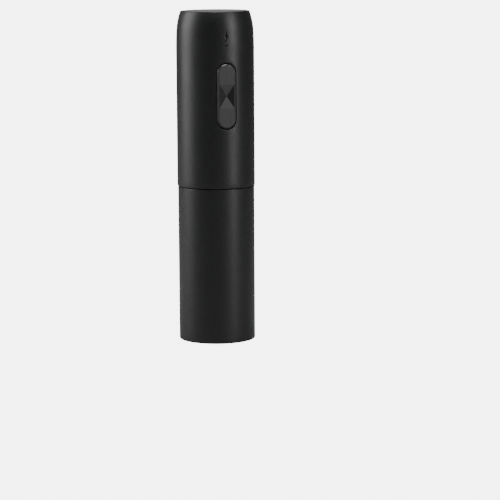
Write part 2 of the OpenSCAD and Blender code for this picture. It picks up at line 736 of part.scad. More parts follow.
module motor_end_cap() color("#1f3a5f") difference() {
    union() {
        disc(motor_r - can_t - 0.02, end_cap_t, motor_top - end_cap_t);
        disc(4.6, 1.6, motor_top - 0.1);
    }
    disc(bush_r, 8, motor_top - end_cap_t - over);
    for (s = [-1, 1]) box([s * terminal_x - 0.3, s * terminal_x + 0.3], [-1.5, 1.5],
        [motor_top - end_cap_t - over, motor_top + over]);
}

module motor_magnets() color("#3f4145") for (s = [0, 180]) rotate([0, 0, s]) intersection() {
    tube(motor_r - can_t - 0.02, motor_r - can_t - magnet_t, core_h + 1, core_z - 0.5);
    translate([0, 0, core_z - 1]) linear_extrude(core_h + 2)
        polygon([[0, 0], [20 * cos(65), 20 * sin(65)], [24, 20], [24, -20], [20 * cos(65), -20 * sin(65)]]);
}

module motor_shaft() color("#c3c6c9") disc(motor_shaft_r, motor_top + 3 - first_gear_z, first_gear_z);

module rotor_core() color("#7e8186") translate([0, 0, core_z]) linear_extrude(core_h) difference() {
    union() {
        circle(r = 3.2);
        for (i = [0:poles - 1]) rotate(i * 360 / poles) {
            translate([2, -1]) square([core_r - 2.5, 2]);
            intersection() {
                difference() {
                    circle(r = core_r);
                    circle(r = core_r - 1.5);
                }
                polygon([[0, 0], [20 * cos(29), 20 * sin(29)], [20 * cos(29), -20 * sin(29)]]);
            }
        }
    }
    circle(r = motor_shaft_r);
}

module rotor_windings() color("#b5632a") for (i = [0:poles - 1]) rotate([0, 0, i * 360 / poles])
    difference() {
        box([3.8, core_r - 2], [-2.3, 2.3], [core_z - 1.3, core_z + core_h + 1.3]);
        box([3, core_r], [-1.02, 1.02], [core_z - 0.02, core_z + core_h + 0.02]);
    }

module commutator() color("#c07b45") difference() {
    tube(commutator_r, motor_shaft_r, commutator_h, commutator_z);
    around(poles, commutator_r, 36)
        box([-0.6, 0.5], [-0.15, 0.15], [commutator_z - over, commutator_z + commutator_h + over]);
}

module motor_brushes() color("#3a3a3c") for (s = [-1, 1])
    box(s > 0 ? [commutator_r + 0.1, terminal_x - 1.5] : [1.5 - terminal_x, -commutator_r - 0.1],
        [-1.2, 1.2], [commutator_z + 0.5, commutator_z + commutator_h - 0.4]);

module motor_terminals() color("#c9a24a") for (s = [-1, 1]) {
    box([s * terminal_x - 0.25, s * terminal_x + 0.25], [-1.3, 1.3],
        [commutator_z + 0.2, motor_top + terminal_h]);
    box(s > 0 ? [terminal_x - 1.5, terminal_x] : [-terminal_x, 1.5 - terminal_x],
        [-1.3, 1.3], [commutator_z + 1.6, commutator_z + 2.2]);
}

module motor_pinion() color("#c9b06a") translate([0, 0, first_gear_z])
    spur_gear(sun_teeth, first_gear_w, motor_shaft_r);

module noise_capacitor() color("#c9742c") {
    z = motor_top + terminal_h + 2.6;
    rod_y(2.4, -1, 1, 0, z);
    for (s = [-1, 1]) lead([[s * 2, 0, z], [s * 4, 0, z - 0.3], [s * 5.8, 0, z - 1.6],
        [s * (terminal_x - 0.55), 0, motor_top + terminal_h - 1.2]], 0.25, 4, 6);
}

// ---------- battery and electronics ----------
module battery_cell() color("#2f5d8c") {
    disc(cell_r, cell_h - 1, cell_z);
    disc(cell_r - 1, 0.5, cell_z - 0.5);
    disc(cell_r - 2.6, 1.2, cell_z + cell_h - 1.1);
}

// A strip runs from under the cell up its back to the protection board on top
module battery_tabs() color("#b9bcc0") {
    side = cell_r + 0.05;
    top = cell_z + cell_h;
    box([-2, 2], [-3, side + 0.2], [cell_z - 0.7, cell_z - 0.5]);
    box([-2, 2], [side, side + 0.2], [cell_z - 0.7, top + 0.3]);
    box([-2, 2], [cell_r - 2.2, side + 0.2], [top + 0.1, top + 0.3]);
    box([-2, 2], [-3, 3], [top + 0.1, top + 0.3]);
}

module control_board() color("#1d5a3a") difference() {
    box([-board_w / 2, board_w / 2], [board_y, board_y + board_t], [board_z, board_top]);
    for (s = [-1, 1]) rod_y(0.5, board_y - over, board_y + board_t + over, s * 3.5, board_z + 3);
}

module control_chips() color("#222326") {
    back = board_y + board_t;
    box([-2.5, 2.5], [back, back + 1.5], [cell_z + 5, cell_z + 9]);
    box([-4, 1], [back, back + 1.4], [cell_z + 12, cell_z + 17]);
    box([3.2, 6.4], [back, back + 1.1], [cell_z + 12, cell_z + 14.6]);
    box([-6.5, -4], [back, back + 1.2], [cell_z + 20, cell_z + 23.5]);
    for (i = [0:3]) box([3 + i * 1.3, 3.8 + i * 1.3], [back, back + 0.6], [cell_z + 18, cell_z + 19.6]);
}

module board_connectors() color("#efe9da") for (z = [cell_z + 0.5, cell_z + 24.5])
    difference() {
        box([1.5, 7.5], [board_y + board_t, board_y + board_t + 3.4], [z, z + 4]);
        box([2.1, 6.9], [board_y + board_t + 0.8, board_y + board_t + 5], [z + 0.6, z + 3.4]);
    }

module indicator_led() color("#f4f2e6")
    box([-0.8, 0.8], [board_y - 0.9, board_y], [dot_z - 0.6, dot_z + 1.2]);

module indicator_lens() color("#16171a") {
    box([-2.8, 2.8], [lens_y, lens_y + 1], [dot_z - 2.4, bolt_icon_z + 3.5]);
    rod_y(0.76, -handle_surface(dot_z) + 0.08, lens_y + 0.1, 0, dot_z);
    bolt_mark(-handle_surface(bolt_icon_z) + 0.22, lens_y + 0.1);
    rod_y(1.6, lens_y + 0.9, board_y - 1.1, 0, dot_z + 0.3);
}

// Radius of the handle's outside at a height in the lower arc
function handle_surface(z) = handle_r - shoulder_low_r
    + sqrt(pow(shoulder_low_r, 2) - pow(max(0, z - shoulder_z), 2));

module switch_bodies() color("#1a1b1d") for (s = [-1, 1]) difference() {
    box([-3, 3], [-switch_front, board_y],
        [rocker_z + s * switch_offset - 3, rocker_z + s * switch_offset + 3]);
    rod_y(plunger_r + running, -switch_front - over, board_y - 0.7, 0, rocker_z + s * switch_offset);
}

// A switch plunger with a domed tip
module plunger(s) {
    z = rocker_z + s * switch_offset;
    color("#6d1f22") intersection() {
        rod_y(plunger_r, -plunger_tip, board_y - 1.9, 0, z);
        translate([0, 6 - plunger_tip, z]) sphere(r = 6);
    }
}

module upper_plunger() plunger(1);
module lower_plunger() plunger(-1);

// The charging board stands behind the socket, and the cell's round protection board lies on top of it
module power_boards() color("#1d5a3a") {
    box([-9, 9], [charge_board_y, charge_board_y + 1], [charge_z - 8.6, charge_z + 7]);
    disc(cell_r - 1.8, 0.8, cell_z + cell_h + 0.3);
}

module charge_socket() color("#c3c6c9") difference() {
    socket_opening(socket_w, socket_h, charge_board_y + 1, shell_in_r + 0.9);
    socket_opening(socket_w - 0.6, socket_h - 0.6, charge_board_y + 2, shell_in_r + 2);
}

module charge_tongue() color("#16171a")
    box([-3.3, 3.3], [charge_board_y + 2, shell_in_r], [charge_z - 0.35, charge_z + 0.35]);

// Leads run from the motor and the cell to the control board, and from the charging board forward
module lead_pair(s) {
    back = board_y + board_t;
    pin_x = 4.5 + s * 1.2;
    low = cell_z + 2.5;
    high = cell_z + 26.5;
    top = cell_z + cell_h + 1.65;
    lead([[s * terminal_x, 1.9, motor_top + 2.8], [s * (terminal_x + 0.7), 2, motor_top + 5.1],
        [s * (terminal_x + 2.3), -2, low - 5.9], [s * (terminal_x + 1.6), -7.5, low - 4],
        [pin_x + s * 1.1 - 0.5, back + 5.2, low - 1.5], [pin_x, back + 4.1, low - 0.2],
        [pin_x, back + 2.6, low]]);
    lead([[s * 1.2, -4.6, top], [0.7 + s * 1.3, -7.6, top + 0.2], [3.2 + s * 1.3, -cell_r - 2.3, top - 1.9],
        [pin_x, back + 4.5, high + 2.3], [pin_x, back + 4, high + 0.4], [pin_x, back + 2.6, high]]);
    lead([[s * 3, charge_board_y - 0.6, charge_z - 6], [s * 7, charge_board_y - 2, charge_z - 8.5],
        [s * (cell_r + 3.2), 4, charge_z - 10.5], [s * (cell_r + 3.7), -4, charge_z - 11.5],
        [s * 9.5, back + 4.4, charge_z - 12], [s * 9, back + 0.6, charge_z - 12]]);
}

module red_leads() color("#a8201f") lead_pair(1);
module black_leads() color("#141416") lead_pair(-1);

// ---------- rocker ----------
// A stadium block whose outer edge is bevelled
module bevelled_stadium(w, h, back, front, bevel, z) {
    for (s = [-1, 1]) translate([0, 0, z + s * (h - w) / 2]) rotate([90, 0, 0]) {
        translate([0, 0, back]) cylinder(r = w / 2, h = front - bevel - back);
        translate([0, 0, front - bevel]) cylinder(r1 = w / 2, r2 = w / 2 - bevel, h = bevel);
    }
    translate([0, 0, z - (h - w) / 2]) linear_extrude(h - w) polygon([[-w / 2, -back], [w / 2, -back],
        [w / 2, bevel - front], [w / 2 - bevel, -front], [bevel - w / 2, -front], [-w / 2, bevel - front]]);
}

module rocker_button() color("#323336") {
    pad_x = rocker_w / 2 - rocker_bevel;
    pad_z = 7.5;
    above = 0.5;                       // the cutting pyramid stands this far out of the face
    grow = 1 + above / rocker_dish;
    difference() {
        bevelled_stadium(rocker_w, rocker_h, rocker_back, rocker_front, rocker_bevel, rocker_z);
        translate([0, rocker_dish - rocker_front, rocker_z]) polyhedron(
            points = [[0, 0, 0], [-pad_x * grow, -rocker_dish - above, -pad_z * grow],
                [pad_x * grow, -rocker_dish - above, -pad_z * grow],
                [pad_x * grow, -rocker_dish - above, pad_z * grow],
                [-pad_x * grow, -rocker_dish - above, pad_z * grow]],
            faces = [[0, 1, 2], [0, 2, 3], [0, 3, 4], [0, 4, 1], [4, 3, 2], [4, 2, 1]]);
    }
    for (s = [-1, 1]) rod_y(2.2, -rocker_back - 0.3, -plunger_tip - 0.1, 0, rocker_z + s * switch_offset);
    box([-rocker_w / 2 + 0.1, rocker_w / 2 - 0.1], [-rocker_back - 0.3, pivot_y],
        [rocker_z - 2, rocker_z + 2]);
    rod_x(2, -rocker_w / 2 + 0.1, rocker_w / 2 - 0.1, pivot_y, rocker_z);
    rod_x(trunnion_r, -trunnion_reach, trunnion_reach, pivot_y, rocker_z);
}

handle_shell();
top_cap();
case_screws();
lower_sleeve();
neck_guide();
cork_chamber();
lip_pad();
front_frame();
rear_frame();
frame_screws();
gearbox_cover();
ring_gear();
motor_plate();
gearbox_bolts();
motor_screws();
thrust_washer();
bearing_outer_ring();
motor_can();
motor_end_cap();
motor_magnets();
motor_bushes();
motor_brushes();
motor_terminals();
noise_capacitor();
battery_cell();
battery_tabs();
control_board();
control_chips();
board_connectors();
indicator_led();
indicator_lens();
switch_bodies();
power_boards();
charge_socket();
charge_tongue();
red_leads();
black_leads();
output_carrier();
output_shaft();
bearing_inner_ring();
bearing_balls();
spiral_holder();
holder_pins();
corkscrew_spiral();
first_carrier();
second_sun_gear();
first_planet_a();
first_planet_b();
first_planet_c();
second_planet_a();
second_planet_b();
second_planet_c();
motor_shaft();
rotor_core();
rotor_windings();
commutator();
motor_pinion();
rocker_button();
upper_plunger();
lower_plunger();
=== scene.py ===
import json
import math

import bmesh
import bpy
from mathutils import Matrix, Vector


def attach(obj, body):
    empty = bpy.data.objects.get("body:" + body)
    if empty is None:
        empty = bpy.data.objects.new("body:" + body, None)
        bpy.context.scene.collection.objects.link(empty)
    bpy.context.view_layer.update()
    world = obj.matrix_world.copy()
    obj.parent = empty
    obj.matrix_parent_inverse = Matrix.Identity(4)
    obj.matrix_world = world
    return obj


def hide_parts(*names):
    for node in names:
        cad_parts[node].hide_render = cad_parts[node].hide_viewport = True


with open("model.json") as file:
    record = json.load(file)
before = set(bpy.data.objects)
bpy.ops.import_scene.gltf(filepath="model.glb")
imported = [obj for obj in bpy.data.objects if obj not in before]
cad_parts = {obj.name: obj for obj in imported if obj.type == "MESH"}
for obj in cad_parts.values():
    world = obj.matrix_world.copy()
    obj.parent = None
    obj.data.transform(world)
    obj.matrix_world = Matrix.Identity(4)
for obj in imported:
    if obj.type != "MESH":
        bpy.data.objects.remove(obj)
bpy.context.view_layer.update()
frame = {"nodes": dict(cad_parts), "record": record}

nodes = frame["nodes"]
MM = 0.001


# ---------------------------------------------------------------- studio
def place_camera():
    """The camera stands to the left of the button's side and looks down a little."""
    turn, tilt, aim, roll = (math.radians(a) for a in (16.8, 8.53, 0.85, -0.351))
    place = Vector((-1.452 * math.sin(turn), -1.452 * math.cos(turn), 0.2751))
    heading = turn + aim
    forward = Vector((math.sin(heading) * math.cos(tilt), math.cos(heading) * math.cos(tilt), -math.sin(tilt)))
    right = forward.cross(Vector((0, 0, 1))).normalized()
    up = right.cross(forward)
    side = right * math.cos(roll) + up * math.sin(roll)
    above = up * math.cos(roll) - right * math.sin(roll)
    data = bpy.data.cameras.new("camera")
    data.sensor_width = 36
    data.lens = 36 * 2265 / 500
    data.clip_start, data.clip_end = 0.05, 50
    camera = bpy.data.objects.new("camera", data)
    camera.matrix_world = Matrix.Translation(place) @ Matrix((side, above, -forward)).transposed().to_4x4()
    bpy.context.collection.objects.link(camera)
    bpy.context.scene.camera = camera
    return turn


VIEW_TURN = place_camera()


def softbox(name, bearing, distance, height, width, tall, power, aim_z=0.12):
    """An area light that faces the axis. Bearing is turned from the camera's own side, right positive."""
    a = math.radians(bearing) - VIEW_TURN
    place = Vector((math.sin(a) * distance, -math.cos(a) * distance, height))
    light = bpy.data.lights.new(name, "AREA")
    light.shape = "RECTANGLE"
    light.size, light.size_y = width, tall
    light.energy = power
    lamp = bpy.data.objects.new(name, light)
    lamp.location = place
    lamp.rotation_euler = (Vector((0, 0, aim_z)) - place).to_track_quat("-Z", "Y").to_euler()
    bpy.context.collection.objects.link(lamp)
    lamp.visible_camera = False


softbox("left_softbox", -93, 0.9, 0.46, 0.6, 0.84, 9.2)
softbox("right_strip", 53, 1.1, 0.44, 0.16, 0.86, 7.2)
softbox("back_card", 180, 1.6, 0.62, 1.6, 0.9, 1.7)
softbox("overhead", 8, 0.32, 1.3, 0.7, 0.6, 12)


# ---------------------------------------------------------------- node helpers
def put(tree, kind, inputs=None, **settings):
    """Adds a shader node. A value in inputs is a number, a colour or the output that feeds the socket."""
    node = tree.nodes.new("ShaderNode" + kind)
    for key, value in settings.items():
        setattr(node, key, value)
    for key, value in (inputs or {}).items():
        if isinstance(value, bpy.types.NodeSocket):
            tree.links.new(value, node.inputs[key])
        else:
            node.inputs[key].default_value = value
    return node


def math_node(tree, operation, a, b=0.0, c=0.0, clamp=False):
    return put(tree, "Math", {0: a, 1: b, 2: c}, operation=operation, use_clamp=clamp).outputs[0]


def smooth_range(tree, value, low, high, to_low=0.0, to_high=1.0):
    return put(tree, "MapRange", {"Value": value, "From Min": low, "From Max": high, "To Min": to_low,
                                  "To Max": to_high}, interpolation_type="SMOOTHSTEP").outputs[0]


def effect(name, inputs, outputs, build):
    """A node group with named number inputs and outputs."""
    tree = bpy.data.node_groups.new(name, "ShaderNodeTree")
    for label, value in inputs.items():
        socket = tree.interface.new_socket(name=label, in_out="INPUT", socket_type="NodeSocketFloat")
        socket.default_value = value
    for label in outputs:
        tree.interface.new_socket(name=label, in_out="OUTPUT", socket_type="NodeSocketFloat")
    source = tree.nodes.new("NodeGroupInput")
    sink = tree.nodes.new("NodeGroupOutput")
    for label, value in build(tree, source.outputs).items():
        tree.links.new(value, sink.inputs[label])
    return tree


def place_effect(tree, group, values=None):
    node = tree.nodes.new("ShaderNodeGroup")
    node.node_tree = group
    for key, value in (values or {}).items():
        node.inputs[key].default_value = value
    return node.outputs


# ---------------------------------------------------------------- shared effects
def build_grain(tree, given):
    """Fine pebbled grain of a moulded or coated face, with a coarser wave under it."""
    where = put(tree, "TexCoord").outputs["Object"]
    fine = put(tree, "TexNoise", {"Vector": where, "Scale": given["Scale"], "Detail": 3.0, "Roughness": 0.6})
    wide = put(tree, "TexNoise", {"Vector": where, "Scale": math_node(tree, "MULTIPLY", given["Scale"], 0.07),
                                  "Detail": 2.0})
    height = math_node(tree, "MULTIPLY_ADD", wide.outputs["Fac"], 0.5, fine.outputs["Fac"])
    return {"Height": height, "Tone": smooth_range(tree, fine.outputs["Fac"], 0.3, 0.7)}


grain = effect("grain", {"Scale": 3000.0}, ("Height", "Tone"), build_grain)


def build_handling(tree, given):
    """Soft patches and faint wipes that hands leave on a finish, as a mask from 0 to 1."""
    where = put(tree, "TexCoord").outputs["Object"]
    patches = put(tree, "TexNoise", {"Vector": where, "Scale": given["Patches"], "Detail": 3.0, "Distortion": 0.6})
    drawn = put(tree, "Mapping", {"Vector": where, "Rotation": (0.4, 0.2, 0.0), "Scale": (1.0, 1.0, 0.16)})
    wipes = put(tree, "TexNoise", {"Vector": drawn.outputs[0], "Scale": given["Wipes"], "Detail": 4.0,
                                   "Roughness": 0.65})
    first = smooth_range(tree, patches.outputs["Fac"], 0.42, 0.68)
    second = smooth_range(tree, wipes.outputs["Fac"], 0.5, 0.75)
    return {"Mask": math_node(tree, "MULTIPLY_ADD", second, 0.45, math_node(tree, "MULTIPLY", first, 0.55),
                              clamp=True)}


handling = effect("handling_marks", {"Patches": 45.0, "Wipes": 420.0}, ("Mask",), build_handling)


def build_tool_lines(tree, given):
    """Lines left by turning about the axis or drawing along it: Along 1 runs them along Z."""
    where = put(tree, "TexCoord").outputs["Object"]
    axes = put(tree, "SeparateXYZ", {"Vector": where}).outputs
    out = math_node(tree, "SQRT", math_node(tree, "ADD", math_node(tree, "POWER", axes[0], 2.0),
                                            math_node(tree, "POWER", axes[1], 2.0)))
    turned_at = put(tree, "CombineXYZ", {"X": out, "Y": 0.0, "Z": axes[2]})
    drawn_at = put(tree, "Mapping", {"Vector": where, "Scale": (1.0, 1.0, 0.03)})
    turned = put(tree, "TexNoise", {"Vector": turned_at.outputs[0], "Scale": given["Scale"], "Detail": 3.0})
    drawn = put(tree, "TexNoise", {"Vector": drawn_at.outputs[0], "Scale": given["Scale"], "Detail": 3.0})
    lines = put(tree, "Mix", {"Factor": given["Along"], 2: turned.outputs["Fac"], 3: drawn.outputs["Fac"]},
                data_type="FLOAT").outputs[0]
    return {"Height": lines, "Tone": smooth_range(tree, lines, 0.3, 0.7)}


tool_lines = effect("tool_lines", {"Scale": 6000.0, "Along": 0.0}, ("Height", "Tone"), build_tool_lines)


def build_rim_wear_and_highlight(tree, given):
    """Slightly paler places near a level, broken up by noise: wear at a rim, and painted highlight where the band
    lies along a seam edge.
    """
    where = put(tree, "TexCoord").outputs["Object"]
    level = put(tree, "SeparateXYZ", {"Vector": where}).outputs[2]
    away = math_node(tree, "ABSOLUTE", math_node(tree, "SUBTRACT", level, given["Level"]))
    near = math_node(tree, "SUBTRACT", 1.0, math_node(tree, "DIVIDE", away, given["Reach"]), clamp=True)
    broken = put(tree, "TexNoise", {"Vector": where, "Scale": 900.0, "Detail": 5.0, "Roughness": 0.7})
    return {"Mask": smooth_range(tree, math_node(tree, "MULTIPLY", near, broken.outputs["Fac"]), 0.3, 0.6)}


rim_wear_and_highlight = effect("rim_wear_and_highlight", {"Level": 0.0, "Reach": 0.001}, ("Mask",), build_rim_wear_and_highlight)


def build_dust(tree, given):
    """Specks and a thin film that settle on faces that look up."""
    where = put(tree, "TexCoord").outputs["Object"]
    up = put(tree, "SeparateXYZ", {"Vector": put(tree, "NewGeometry").outputs["Normal"]}).outputs[2]
    facing = smooth_range(tree, up, 0.4, 1.0)
    specks = put(tree, "TexVoronoi", {"Vector": where, "Scale": 1300.0, "Randomness": 1.0})
    speck = smooth_range(tree, specks.outputs["Distance"], 0.16, 0.05)
    keep = put(tree, "TexNoise", {"Vector": where, "Scale": 170.0, "Detail": 2.0})
    some = smooth_range(tree, keep.outputs["Fac"], 0.52, 0.66)
    film = math_node(tree, "MULTIPLY", some, 0.25)
    amount = math_node(tree, "MULTIPLY_ADD", speck, some, film)
    return {"Mask": math_node(tree, "MULTIPLY", math_node(tree, "MULTIPLY", amount, facing), given["Amount"],
                              clamp=True)}


dust = effect("dust", {"Amount": 0.3}, ("Mask",), build_dust)


# ---------------------------------------------------------------- finishes
def blend_colour(tree, factor, a, b):
    """a where factor is 0 and b where it is 1. Each is a colour or the output that gives one."""
    fits = lambda c: c if isinstance(c, bpy.types.NodeSocket) else (*c, 1.0)
    return put(tree, "Mix", {"Factor": factor, 6: fits(a), 7: fits(b)}, data_type="RGBA").outputs[2]


def bump(tree, height, depth, strength=1.0):
    return put(tree, "Bump", {"Height": height, "Distance": depth, "Strength": strength}).outputs[0]


def finish(name, **fixed):
    """A new material with its tree, its shader and the values that are the same all over."""
    material = bpy.data.materials.new(name)
    material.use_nodes = True
    tree = material.node_tree
    shader = tree.nodes["Principled BSDF"]
    for key, value in fixed.items():
        shader.inputs[key.replace("_", " ")].default_value = value
    return material, tree, shader


def feed(tree, shader, **sources):
    for key, value in sources.items():
        tree.links.new(value, shader.inputs[key.replace("_", " ")])


def coated_finish(name, dark, worn_and_highlight, rough, levels, grain_depth=0.00002, grain_scale=3600.0, smudge=0.07):
    """Rubber-like paint on a moulded body: pebbled and slightly shinier where it is held. Thin paler bands at given
    levels are wear where a rim takes rubbing, and painted highlight along the seam edges of the housing.
    """
    material, tree, shader = finish(name, IOR=1.46, Coat_IOR=1.4, Sheen_Weight=0.04, Sheen_Roughness=0.4)
    pebbles = place_effect(tree, grain, {"Scale": grain_scale})
    held = place_effect(tree, handling)["Mask"]
    lighter = tuple(c * 1.35 + 0.0006 for c in dark)
    colour = blend_colour(tree, math_node(tree, "MULTIPLY", pebbles["Tone"], 0.5), dark, lighter)
    # Paler bands near each level: wear at a rim, and painted highlight where a level marks a seam edge.
    for level, reach in levels:
        rubbed_and_lit = place_effect(tree, rim_wear_and_highlight, {"Level": level, "Reach": reach})["Mask"]
        colour = blend_colour(tree, math_node(tree, "MULTIPLY", rubbed_and_lit, 0.5), colour, worn_and_highlight)
    settled = place_effect(tree, dust, {"Amount": 0.12})["Mask"]
    colour = blend_colour(tree, settled, colour, (0.22, 0.21, 0.2))
    roughness = math_node(tree, "MULTIPLY_ADD", held, -smudge, rough)
    roughness = math_node(tree, "MULTIPLY_ADD", pebbles["Tone"], 0.05, roughness)
    feed(tree, shader, Base_Color=colour, Roughness=roughness, Normal=bump(tree, pebbles["Height"], grain_depth))
    return material


def moulded_finish(name, colour, second, rough, grain_scale=2200.0, grain_depth=0.00003, dusty=0.1, ior=1.49):
    """Bare moulded plastic with a fine spark-eroded grain and faint flow marks."""
    material, tree, shader = finish(name, IOR=ior)
    pebbles = place_effect(tree, grain, {"Scale": grain_scale})
    flow = place_effect(tree, handling, {"Patches": 80.0, "Wipes": 260.0})["Mask"]
    tone = blend_colour(tree, math_node(tree, "MULTIPLY_ADD", flow, 0.7, math_node(tree, "MULTIPLY",
                                                                                  pebbles["Tone"], 0.3)),
                        colour, second)
    settled = place_effect(tree, dust, {"Amount": dusty})["Mask"]
    tone = blend_colour(tree, settled, tone, (0.3, 0.29, 0.27))
    roughness = math_node(tree, "MULTIPLY_ADD", flow, -0.1, math_node(tree, "MULTIPLY_ADD", pebbles["Tone"], 0.08,
                                                                      rough))
    feed(tree, shader, Base_Color=tone, Roughness=roughness, Normal=bump(tree, pebbles["Height"], grain_depth))
    return material


def metal_finish(name, colour, tarnish, rough, along=0.0, line_scale=7000.0, line_depth=0.000012, stain=0.35):
    """Machined or drawn metal with tool lines, uneven shine and a little tarnish."""
    material, tree, shader = finish(name, Metallic=1.0)
    lines = place_effect(tree, tool_lines, {"Scale": line_scale, "Along": along})
    touched = place_effect(tree, handling, {"Patches": 120.0, "Wipes": 700.0})["Mask"]
    tone = blend_colour(tree, math_node(tree, "MULTIPLY", touched, stain), colour, tarnish)
    tone = blend_colour(tree, math_node(tree, "MULTIPLY", lines["Tone"], 0.25), tone, tuple(c * 0.72 for c in colour))
    roughness = math_node(tree, "MULTIPLY_ADD", touched, 0.16, math_node(tree, "MULTIPLY_ADD", lines["Tone"], 0.12,
                                                                        rough))
    feed(tree, shader, Base_Color=tone, Roughness=roughness, Normal=bump(tree, lines["Height"], line_depth))
    return material


def cast_finish(name, colour, second, rough):
    """Die-cast metal: a mottled, sandy skin."""
    material, tree, shader = finish(name, Metallic=1.0)
    skin = place_effect(tree, grain, {"Scale": 1500.0})
    cloudy = place_effect(tree, handling, {"Patches": 150.0, "Wipes": 500.0})["Mask"]
    tone = blend_colour(tree, cloudy, colour, second)
    roughness = math_node(tree, "MULTIPLY_ADD", skin["Tone"], 0.18, rough)
    feed(tree, shader, Base_Color=tone, Roughness=roughness, Normal=bump(tree, skin["Height"], 0.00006))
    return material


def layered_finish(name, colour, between, rough, pitch, metallic=1.0, depth=0.00003, upright=True):
    """Thin layers or turns of wire stacked at a fixed pitch, along Z or round each other across it."""
    material, tree, shader = finish(name, Metallic=metallic)
    where = put(tree, "TexCoord").outputs["Object"]
    axes = put(tree, "SeparateXYZ", {"Vector": where}).outputs
    if upright:
        along = axes[2]
    else:
        along = math_node(tree, "ADD", math_node(tree, "ADD", axes[0], axes[1]), math_node(tree, "MULTIPLY", axes[2],
                                                                                        0.12))
    turn = math_node(tree, "PINGPONG", math_node(tree, "DIVIDE", along, pitch), 0.5)
    crest = smooth_range(tree, turn, 0.04, 0.34)
    uneven = place_effect(tree, handling, {"Patches": 200.0, "Wipes": 900.0})["Mask"]
    tone = blend_colour(tree, crest, between, colour)
    tone = blend_colour(tree, math_node(tree, "MULTIPLY", uneven, 0.3), tone, tuple(c * 0.6 for c in colour))
    roughness = math_node(tree, "MULTIPLY_ADD", uneven, 0.2, rough)
    feed(tree, shader, Base_Color=tone, Roughness=roughness, Normal=bump(tree, crest, depth))
    return material


def rubber_finish(name, colour, second, rough):
    """Soft rubber: matte, a little bloomed and finely pitted."""
    material, tree, shader = finish(name, IOR=1.5, Sheen_Weight=0.15, Sheen_Roughness=0.5)
    pits = place_effect(tree, grain, {"Scale": 2600.0})
    bloom = place_effect(tree, handling, {"Patches": 70.0, "Wipes": 300.0})["Mask"]
    tone = blend_colour(tree, bloom, colour, second)
    roughness = math_node(tree, "MULTIPLY_ADD", pits["Tone"], 0.08, rough)
    feed(tree, shader, Base_Color=tone, Roughness=roughness, Normal=bump(tree, pits["Height"], 0.00005))
    return material


def board_finish(name):
    """Circuit board: solder mask over copper tracks, with tinned pads at a regular spacing."""
    material, tree, shader = finish(name, IOR=1.5, Coat_Weight=0.4, Coat_Roughness=0.2)
    where = put(tree, "TexCoord").outputs["Object"]
    blocks = put(tree, "Mapping", {"Vector": where, "Scale": (1.0, 0.0, 1.0)})
    cells = put(tree, "TexVoronoi", {"Vector": blocks.outputs[0], "Scale": 420.0, "Randomness": 0.85},
                distance="CHEBYCHEV", feature="F1")
    tracks = smooth_range(tree, cells.outputs["Distance"], 0.42, 0.5)
    axes = put(tree, "SeparateXYZ", {"Vector": where}).outputs
    gaps = [math_node(tree, "PINGPONG", math_node(tree, "DIVIDE", axes[k], 0.00254), 0.5) for k in (0, 2)]
    spot = math_node(tree, "SQRT", math_node(tree, "ADD", math_node(tree, "POWER", gaps[0], 2.0),
                                             math_node(tree, "POWER", gaps[1], 2.0)))
    chosen = put(tree, "TexNoise", {"Vector": where, "Scale": 190.0, "Detail": 0.0})
    pads = math_node(tree, "MULTIPLY", smooth_range(tree, spot, 0.17, 0.13),
                     smooth_range(tree, chosen.outputs["Fac"], 0.52, 0.54))
    mask = blend_colour(tree, tracks, (0.008, 0.085, 0.035), (0.014, 0.15, 0.06))
    tone = blend_colour(tree, pads, mask, (0.62, 0.6, 0.55))
    roughness = math_node(tree, "MULTIPLY_ADD", pads, -0.12, 0.42)
    height = math_node(tree, "MULTIPLY_ADD", pads, 0.6, tracks)
    feed(tree, shader, Base_Color=tone, Roughness=roughness, Metallic=math_node(tree, "MULTIPLY", pads, 0.9),
         Normal=bump(tree, height, 0.00003))
    return material


def sleeve_film_finish(name, colour, second):
    """Shrink film over a battery cell: glossy and faintly wrinkled, a little uneven where handled."""
    material, tree, shader = finish(name, IOR=1.5, Coat_Weight=0.5, Coat_Roughness=0.12)
    where = put(tree, "TexCoord").outputs["Object"]
    drawn = put(tree, "Mapping", {"Vector": where, "Scale": (1.0, 1.0, 0.25)})
    folds = put(tree, "TexNoise", {"Vector": drawn.outputs[0], "Scale": 340.0, "Detail": 3.0, "Distortion": 0.8})
    marks = place_effect(tree, handling)["Mask"]
    tone = blend_colour(tree, marks, colour, second)
    roughness = math_node(tree, "MULTIPLY_ADD", marks, 0.15, 0.22)
    feed(tree, shader, Base_Color=tone, Roughness=roughness, Normal=bump(tree, folds.outputs["Fac"], 0.00012))
    return material


def lens_finish(name):
    """Smoked window that hides the light behind it: deep, glossy and faintly hazed."""
    material, tree, shader = finish(name, IOR=1.5, Coat_Weight=0.6, Coat_Roughness=0.08)
    haze = place_effect(tree, handling, {"Patches": 600.0, "Wipes": 1500.0})["Mask"]
    ripple = place_effect(tree, grain, {"Scale": 1500.0})
    tone = blend_colour(tree, haze, (0.0025, 0.0025, 0.003), (0.006, 0.006, 0.007))
    roughness = math_node(tree, "MULTIPLY_ADD", haze, 0.1, 0.16)
    feed(tree, shader, Base_Color=tone, Roughness=roughness, Normal=bump(tree, ripple["Height"], 0.000006))
    return material


